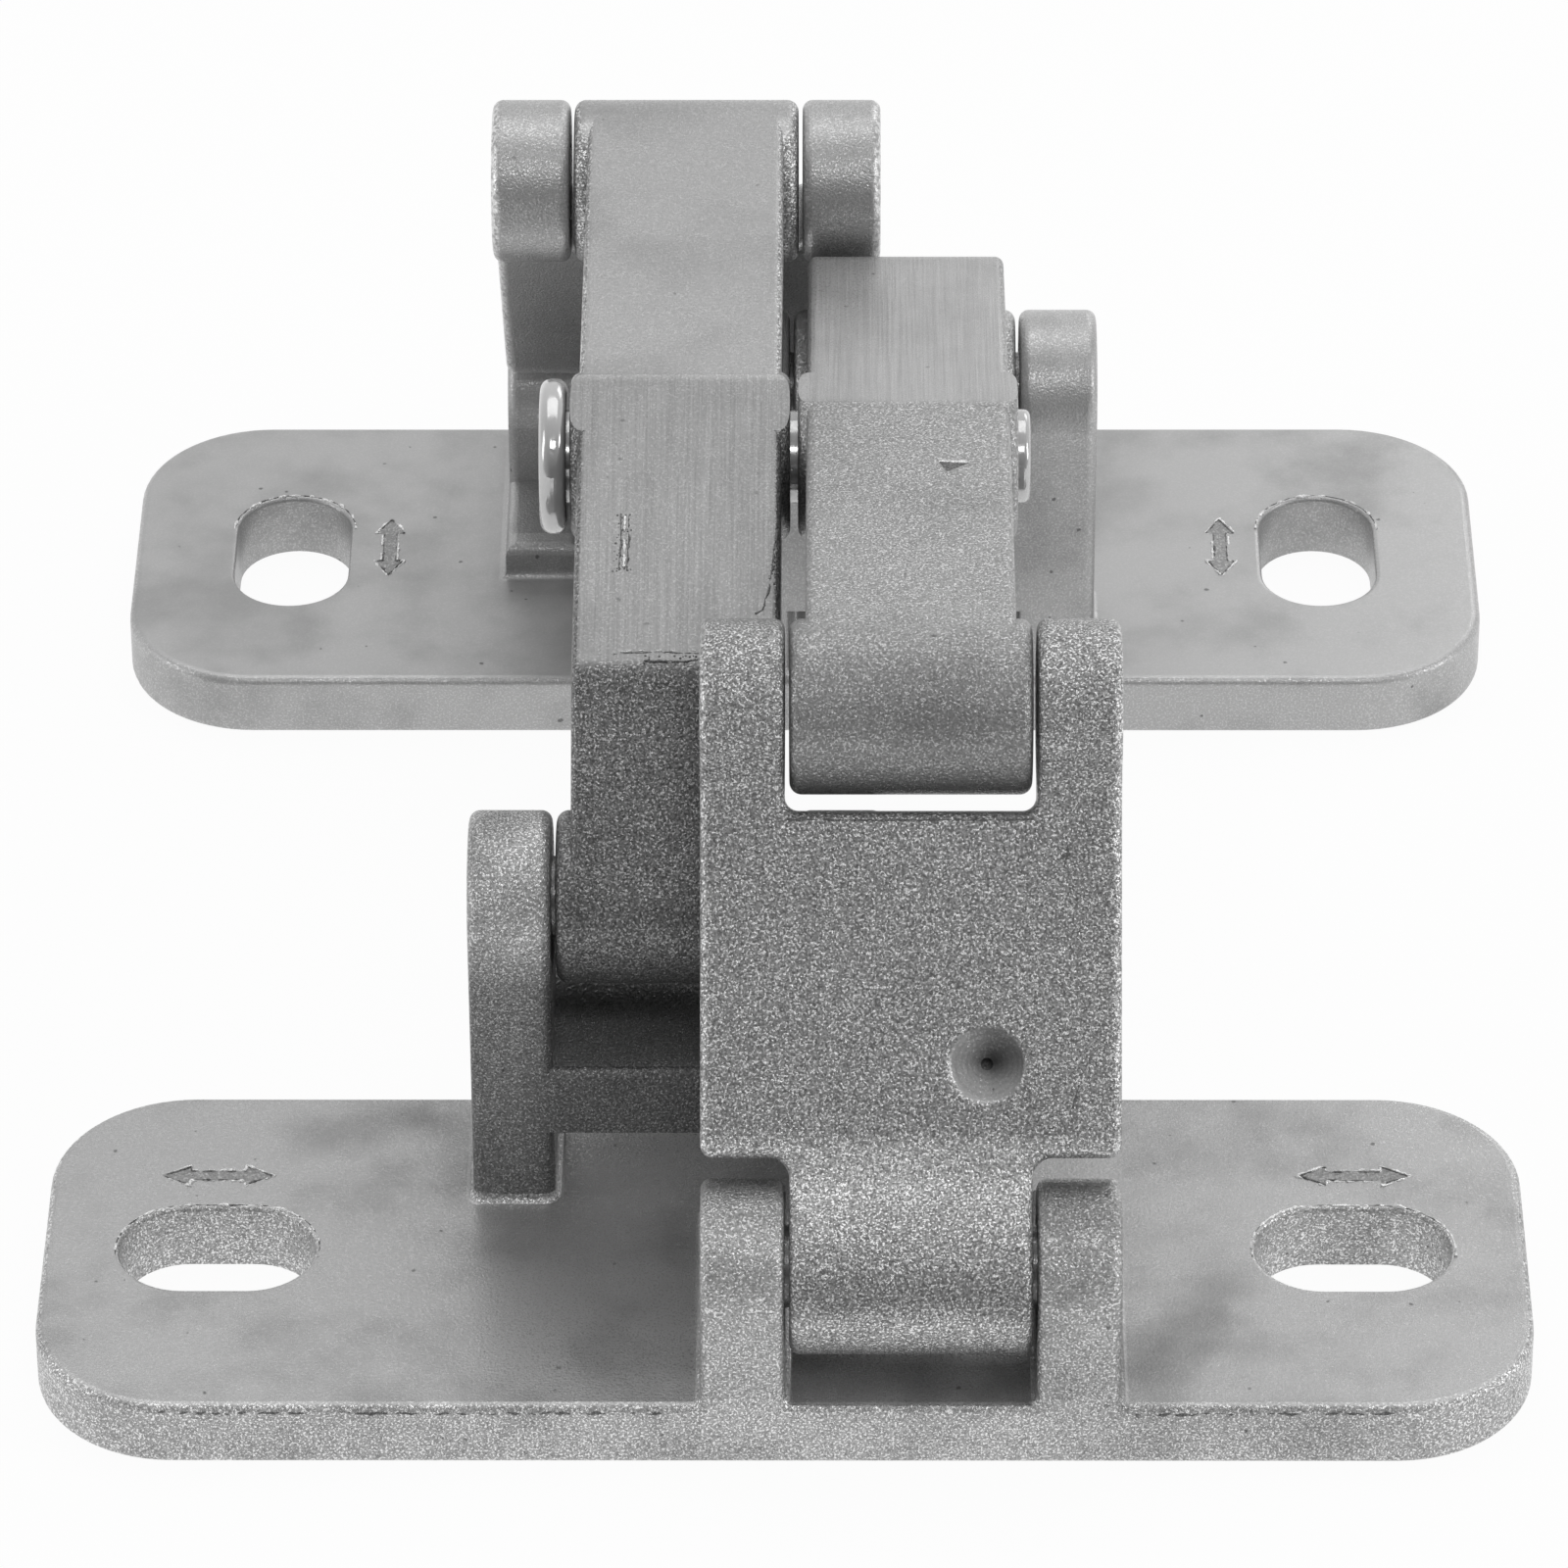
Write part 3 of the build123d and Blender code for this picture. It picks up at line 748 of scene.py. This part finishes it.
line = node(bead_tree, "GeometryNodeMeshToCurve", {"Mesh": given["Geometry"]}).outputs[0]
stepped = node(bead_tree, "GeometryNodeResampleCurve", {"Curve": line, "Length": given["Step"]},
               mode="LENGTH").outputs[0]
place = node(bead_tree, "GeometryNodeInputPosition").outputs[0]
wave = node(bead_tree, "ShaderNodeTexNoise", {"Vector": place, "W": given["Seed"], "Scale": wave_scale},
            noise_dimensions="4D").outputs
thin = math_node(bead_tree, "SUBTRACT", 1.0, given["Raggedness"])
thick = math_node(bead_tree, "ADD", 1.0, given["Raggedness"])
ragged = ramp(bead_tree, wave["Fac"], wave_low, wave_high, thin, thick, smooth=False)
share = math_node(bead_tree, "MAXIMUM", ragged, thinnest_share)
radius = product(bead_tree, share, given["Bead Radius"])
centred = node(bead_tree, "ShaderNodeVectorMath", {0: wave["Color"], 1: (0.5,) * 3},
               operation="SUBTRACT").outputs[0]
drift = node(bead_tree, "ShaderNodeVectorMath", {0: centred, "Scale": given["Wander"]},
             operation="SCALE").outputs[0]
moved = node(bead_tree, "GeometryNodeSetPosition", {"Geometry": stepped, "Offset": drift}).outputs[0]
ring = node(bead_tree, "GeometryNodeCurvePrimitiveCircle", {"Resolution": bead_sides,
                                                            "Radius": 1.0}).outputs[0]
bead = node(bead_tree, "GeometryNodeCurveToMesh", {"Curve": moved, "Profile Curve": ring, "Scale": radius,
                                                   "Fill Caps": True}).outputs[0]
end_tree(bead_tree, bead, given["Material"])

# %% [markdown]
# Small pimples, like crumbs of casting sand, are scattered over a face by a second tree. It drops points
# on a flat patch, keeps them apart, and stands a squashed ball of random size on each.

# %% Tree: scattered crumbs
smallest_share = 0.35
squash = 0.5
crumb_tree, given = start_tree("scattered_crumbs", ("Crumb Radius", "Spacing", "Per Area", "Seed"))
seed = node(crumb_tree, "FunctionNodeFloatToInt", {0: given["Seed"]}).outputs[0]
points = node(crumb_tree, "GeometryNodeDistributePointsOnFaces", {
    "Mesh": given["Geometry"], "Distance Min": given["Spacing"], "Density Max": given["Per Area"],
    "Seed": seed}, distribute_method="POISSON").outputs
ball = node(crumb_tree, "GeometryNodeMeshIcoSphere", {"Radius": 1.0, "Subdivisions": 2}).outputs[0]
share = node(crumb_tree, "FunctionNodeRandomValue", {2: smallest_share, 3: 1.0, "Seed": seed},
             data_type="FLOAT").outputs[1]
size = product(crumb_tree, share, given["Crumb Radius"])
flat_size = product(crumb_tree, size, squash)
squashed = node(crumb_tree, "ShaderNodeCombineXYZ", {"X": size, "Y": size, "Z": flat_size})
crumbs = node(crumb_tree, "GeometryNodeInstanceOnPoints", {
    "Points": points["Points"], "Instance": ball, "Rotation": points["Rotation"],
    "Scale": squashed.outputs[0]}).outputs[0]
end_tree(crumb_tree, crumbs, given["Material"])


# %% [markdown]
# A tree works on an object through a modifier. The result is copied out as a plain mesh and the modifier
# goes, so that the piece is the same wherever it is opened. Every piece says which body of the hinge it
# rides on, and so moves with that body when the hinge folds.


# %% Growing a piece from a tree
def new_piece(name, mesh, body):
    """Object at the origin that rides on a body."""
    piece = bpy.data.objects.new(name, mesh)
    scene.collection.objects.link(piece)
    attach(piece, body)


def grow(name, mesh, tree, material, body, slot, **values):
    """Run a tree on a mesh, keep the plain result as a piece, and drop the modifier."""
    seedling = bpy.data.objects.new(name + "_seed", mesh)
    scene.collection.objects.link(seedling)
    modifier = seedling.modifiers.new("grow", "NODES")
    modifier.node_group = tree
    sockets = {item.name: item.identifier for item in tree.interface.items_tree if item.in_out == "INPUT"}
    for label, value in values.items():
        modifier[sockets[label.replace("_", " ").title()]] = float(value)
    modifier[sockets["Material"]] = material
    bpy.context.view_layer.update()
    result = bpy.data.meshes.new_from_object(seedling.evaluated_get(bpy.context.evaluated_depsgraph_get()))
    seedling.modifiers.remove(modifier)
    bpy.data.objects.remove(seedling)
    result.name = name
    print("piece", name, "faces:", len(result.polygons))
    new_piece(name, result, body)


# %% [markdown]
# The trees start from simple meshes: loops or lines of bare edges for the beads, and flat faces for the
# crumbs. Two helpers make them from lists of places in millimetres.


# %% Meshes to grow from
def lines_mesh(name, loops, closed=True):
    """Mesh of edges only, from lists of points in mm."""
    points, edges = [], []
    for loop in loops:
        first = len(points)
        points += [Vector(point) * mm for point in loop]
        edges += [(first + k, first + k + 1) for k in range(len(loop) - 1)]
        if closed:
            edges.append((len(points) - 1, first))
    mesh = bpy.data.meshes.new(name)
    mesh.from_pydata(points, edges, [])
    return mesh


def flat_mesh(name, loops):
    """Mesh of one face for each list of points in mm."""
    points, faces = [], []
    for loop in loops:
        faces.append(list(range(len(points), len(points) + len(loop))))
        points += [Vector(point) * mm for point in loop]
    mesh = bpy.data.meshes.new(name)
    mesh.from_pydata(points, [], faces)
    return mesh


# %% [markdown]
# Torn metal is bright, because it has no oxide yet, and the burrs carry a painted highlight as well.
# Scores and the floors of marks are painted shade, dark because little light gets in. Three more metals
# come from the same function.

# %% Metals for the marks
burr_highlight = cast_metal("burr_highlight", level=0.85, grain=0.2 * mm, grain_depth=0.1 * mm, sparkle=0.3,
                         clouds=0.1, pits=0.1, roughness=0.3)
score_shade = cast_metal("score_shade", level=0.16, grain=0.2 * mm, grain_depth=0.1 * mm, sparkle=0.5,
                        clouds=0.1, pits=0.1, roughness=0.6)
groove_shade = cast_metal("groove_shade", level=0.33, grain=0.25 * mm, grain_depth=0.1 * mm, sparkle=0.3,
                          clouds=0.2, pits=0.3, roughness=0.5)

# %% [markdown]
# A double arrow is marked beside every bolt slot and points along it. One quarter of its outline is
# written down. The rest is that quarter turned over, and the same outline, made a little smaller or
# larger, serves the score and the burr round it.

# %% Outline of an arrow
skin = 0.012
arrow_half = 4.15
arrow_head = 2.1
arrow_wide = 1.15
arrow_narrow = 0.55
tip_growth = 1.5
score_inset = 0.04
burr_outset = 0.12


def arrow_outline(grow_by=0.0):
    """Corners of a double arrow along its own x, with every side pushed out."""
    neck = arrow_half - arrow_head
    narrow, wide, tip = arrow_narrow + grow_by, arrow_wide + grow_by, arrow_half + tip_growth * grow_by
    quarter = [(tip, 0.0), (neck, wide), (neck, narrow)]
    half = quarter + [(-x, y) for x, y in reversed(quarter[1:])]
    return half + [(-x, -y) for x, y in half]


def placed(points, middle, turned, height):
    """Points of a flat drawing, moved to a place on a plate, turned by a quarter if asked."""
    if turned:
        points = [(-y, x) for x, y in points]
    return [(middle[0] + x, middle[1] + y, height) for x, y in points]


print("corners of an arrow:", len(arrow_outline()))

# %% [markdown]
# The plate's solid has no groove under an arrow, so the floor of the mark is a thin face just above the
# metal, darker than the plate with painted shade. A score of painted shade runs round it, and a burr with a
# painted highlight round the score.

# %% Arrows
front_middle = (-0.6, -46.825)
rear_middle = (0.6, 46.825)
front_arrow_places = [(front_middle[0] + side * 42.5, front_middle[1] + 8.85) for side in (-1, 1)]
rear_arrow_places = [(rear_middle[0] + side * 34.15, rear_middle[1] + 0.5) for side in (-1, 1)]
for end, places, turned in (("front", front_arrow_places, False), ("rear", rear_arrow_places, True)):
    body = end + "_plate"
    shade_sheets = [placed(arrow_outline(), middle, turned, plate_top + skin) for middle in places]
    shade_sheet = flat_mesh(end + "_arrow_shade_sheets", shade_sheets)
    shade_sheet.materials.append(groove_shade)
    new_piece(end + "_arrow_shade_sheets", shade_sheet, body)
    scores = [placed(arrow_outline(-score_inset), middle, turned, plate_top) for middle in places]
    grow(end + "_arrow_scores", lines_mesh("scores", scores), bead_tree, score_shade, body, "plate_casting",
         bead_radius=0.06 * mm, raggedness=0.9, step=0.12 * mm, wander=0.25 * mm, seed=3.0)
    burrs = [placed(arrow_outline(burr_outset), middle, turned, plate_top) for middle in places]
    grow(end + "_arrow_burrs", lines_mesh("burrs", burrs), bead_tree, burr_highlight, body, "plate_casting",
         bead_radius=0.06 * mm, raggedness=1.6, step=0.12 * mm, wander=0.2 * mm, seed=8.0)

# %% [markdown]
# The far half of every slot's rim has the same pair: a thin line of painted shade with broken bits of
# burr in painted highlight.
# The near half is left plain. The line keeps those points of a full loop that lie far enough back, and
# starts them again at the widest gap, so that it doesn't close across the slot.

# %% Rim of a slot
rim_out = 0.35
rim_depth = 0.03
arc_steps = 16
rim_near = 1.5


def slot_loop(middle, length, width, turned):
    """Far half of the rim of a slot on the plate's top."""
    radius = width / 2 + rim_out
    straight = (length - width) / 2
    points = []
    for side in (1, -1):
        for k in range(arc_steps + 1):
            angle = math.radians(-90 + 180 * k / arc_steps)
            points.append((side * (straight + radius * math.cos(angle)), side * radius * math.sin(angle)))
    loop = placed(points, middle, turned, plate_top - rim_depth)
    far = [point for point in loop if point[1] > middle[1] - rim_near]
    start = max(range(len(far)), key=lambda k: math.dist(far[k], far[k - 1]))
    return far[start:] + far[:start]


# %% [markdown]
# One loop serves both plates. The rear slots are a little longer and narrower than the front ones and
# run the other way.

# %% Slot rims
slot_half_spacing = 42.1
front_slots = [(front_middle[0] + side * slot_half_spacing, front_middle[1]) for side in (-1, 1)]
rear_slots = [(rear_middle[0] + side * slot_half_spacing, rear_middle[1]) for side in (-1, 1)]
for end, places, length, width in (("front", front_slots, 14.5, 9.8), ("rear", rear_slots, 15.8, 9.3)):
    body = end + "_plate"
    loops = [slot_loop(middle, length, width, end == "rear") for middle in places]
    grow(end + "_rim_scores", lines_mesh("rims", loops, False), bead_tree, score_shade, body, "plate_casting",
         bead_radius=0.045 * mm, raggedness=0.6, step=0.2 * mm, wander=0.15 * mm, seed=1.0)
    grow(end + "_rim_burrs", lines_mesh("rims", loops, False), bead_tree, burr_highlight, body, "plate_casting",
         bead_radius=0.05 * mm, raggedness=2.4, step=0.15 * mm, wander=0.35 * mm, seed=5.0)

# %% [markdown]
# Marks on an arm lie on a sloping top. Each is drawn in x and y, as seen from above, and the slope of
# that stretch of the arm gives its height.

# %% Places on the arms
knee = (-28.65, 45.15)
ridge = (-1.8, 50.94)
slope_past_knee = 0.19015
slope_before_ridge = -0.07057


def on_left(points, lift=0.0):
    """Points on the top of the left arm, between its knee and its ridge."""
    return [(x, y, knee[1] + (y - knee[0]) * slope_past_knee + lift) for x, y in points]


def on_right(points, lift=0.0):
    """Points on the near top of the right arm, before its ridge."""
    return [(x, y, ridge[1] + (y - ridge[0]) * slope_before_ridge + lift) for x, y in points]


print("height of the left arm's top at its knee in mm:", on_left([(0.0, knee[0])])[0][2])

# %% [markdown]
# The left arm has a broken score just past its knee, with a bright lip behind it and dark crumbs before
# it, a torn line along its right edge, and a rough scratch with crumbs along it. They are chance marks,
# so their places are drawn one by one and their raggedness is left to the trees.

# %% Marks on the left arm
# The scores, the torn line, the scratch's sides and the crumbs are in painted shade, and the lip and the
# scratch's middle carry a painted highlight
scratch_half = 0.3
knee_scores = [on_left([(-13.15, -27.45), (-10.7, -27.25), (-8.4, -27.3), (-6.9, -27.4)]),
               on_left([(-10.9, -28.1), (-9.0, -28.2), (-6.9, -28.0)])]
torn_edge = on_left([(-1.2, -14.6), (-1.4, -16.6), (-1.55, -18.6), (-1.75, -20.6), (-2.25, -22.9),
                     (-2.8, -23.3)])
knee_lip = on_left([(-12.9, -27.25), (-10.4, -27.05), (-8.2, -27.05), (-7.0, -27.1)])
scratch_lines = [on_left([(-12.55 + shift, -12.98), (-12.5 + shift, -15.4), (-12.6 + shift, -18.82)])
                 for shift in (-scratch_half, scratch_half)]
scratch_middle = on_left([(-12.55, -13.2), (-12.55, -18.5)])
left_arm_lines = lines_mesh("scores", [*knee_scores, torn_edge, *scratch_lines], False)
grow("left_arm_scores", left_arm_lines, bead_tree, score_shade, "left_arm", "arm_casting",
     bead_radius=0.06 * mm, raggedness=0.55, step=0.12 * mm, wander=0.3 * mm, seed=2.0)
grow("left_arm_burrs", lines_mesh("burrs", [knee_lip, scratch_middle], False), bead_tree, burr_highlight,
     "left_arm", "arm_casting", bead_radius=0.06 * mm, raggedness=1.8, step=0.12 * mm,
     wander=0.25 * mm, seed=6.0)
patches = [on_left([(-11.0, -28.4), (-6.95, -28.4), (-6.95, -27.6), (-11.0, -27.6)]),
           on_left([(-2.0, -21.5), (-1.2, -21.5), (-0.9, -15.0), (-1.3, -15.0)]),
           on_left([(-13.4, -18.9), (-11.9, -18.9), (-12.1, -13.0), (-13.1, -13.0)], 0.01)]
grow("left_arm_crumbs", flat_mesh("patches", patches), crumb_tree, score_shade, "left_arm", "arm_casting",
     crumb_radius=0.1 * mm, spacing=0.2 * mm, per_area=9e6, seed=4.0)

# %% [markdown]
# The right arm has one small chip: a three-cornered face of painted shade with a burr in painted highlight
# along its far side.

# %% Chip in the right arm
chip = [(10.83, -11.08), (13.16, -11.23), (11.4, -12.58)]
chip_shade_sheet = flat_mesh("right_arm_chip", [on_right(chip, skin)])
chip_shade_sheet.materials.append(score_shade)
new_piece("right_arm_chip", chip_shade_sheet, "right_arm")
grow("right_arm_chip_edge", lines_mesh("edge", [on_right(chip[:2])], False), bead_tree, burr_highlight,
     "right_arm", "arm_casting", bead_radius=0.09 * mm, raggedness=0.8, step=0.12 * mm,
     wander=0.1 * mm, seed=9.0)

# %% [markdown]
# The front of the plate has a broken dark line of painted shade just under its top edge. It is the same
# bead again, thin and very ragged, so that only bits of it show.

# %% Shade line under the front edge
front_y = -65.62
edge_shade_line = [[(-46.0, front_y, 4.75), (-30.0, front_y, 4.7), (-10.0, front_y, 4.7), (-9.5, front_y, 4.7)],
           [(26.0, front_y, 4.7), (44.0, front_y, 4.75)]]
grow("front_edge_shade_line", lines_mesh("edge_shade_line", edge_shade_line, False), bead_tree, score_shade, "front_plate",
     "plate_casting", bead_radius=0.045 * mm, raggedness=1.3, step=0.2 * mm, wander=0.7 * mm, seed=7.0)

# %% [markdown]
# The front link's leaning face has a few nicks and a line under its notch in painted shade, and two
# sprinklings of pimples, one with a painted highlight and one in painted shade. Their places are measured
# on the face itself and leant back with the link.

# %% Marks on the front link
link_face_out = 3.4


def on_link(x, along):
    """Point on the leaning front face of the front link, from x and the distance up from its lower pin."""
    return (x, -link_foot[0] / mm - link_face_out * lean_cos + along * lean_sin,
            link_foot[1] / mm + link_face_out * lean_sin + along * lean_cos)


link_nicks = [((19.8, 31.2), (19.95, 30.3), (19.65, 29.1)), ((19.2, 29.6), (20.5, 30.1)),
              ((20.9, 13.6), (20.5, 12.6), (20.2, 11.6))]
notch_line = ((-0.4, 32.5), (8.0, 32.45), (17.4, 32.5))
face_lines = [[on_link(x, along) for x, along in line] for line in (*link_nicks, notch_line)]
grow("front_link_nicks", lines_mesh("nicks", face_lines, False), bead_tree, score_shade, "front_link",
     "link_casting", bead_radius=0.05 * mm, raggedness=1.0, step=0.12 * mm, wander=0.3 * mm, seed=11.0)
link_patch = [[on_link(x, along) for x, along in ((-4.0, 9.5), (21.0, 9.5), (21.0, 29.0), (-4.0, 29.0))]]
grow("front_link_crumbs", flat_mesh("link_patch", link_patch), crumb_tree, burr_highlight, "front_link",
     "link_casting", crumb_radius=0.09 * mm, spacing=1.6 * mm, per_area=2.4e5, seed=3.0)
grow("front_link_specks", flat_mesh("link_patch", link_patch), crumb_tree, score_shade, "front_link",
     "link_casting", crumb_radius=0.1 * mm, spacing=2.2 * mm, per_area=1.2e5, seed=12.0)

# %% [markdown]
# The box round everything that shows is measured, and how far the marks stand past the solids' own box
# in front is printed.

# %% Measure the size
visual_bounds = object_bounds()
past_front = (cad_bounds[0][1] - visual_bounds[0][1]) / mm
print("marks stand past the solids' box in front by, in mm:", round(past_front, 2))
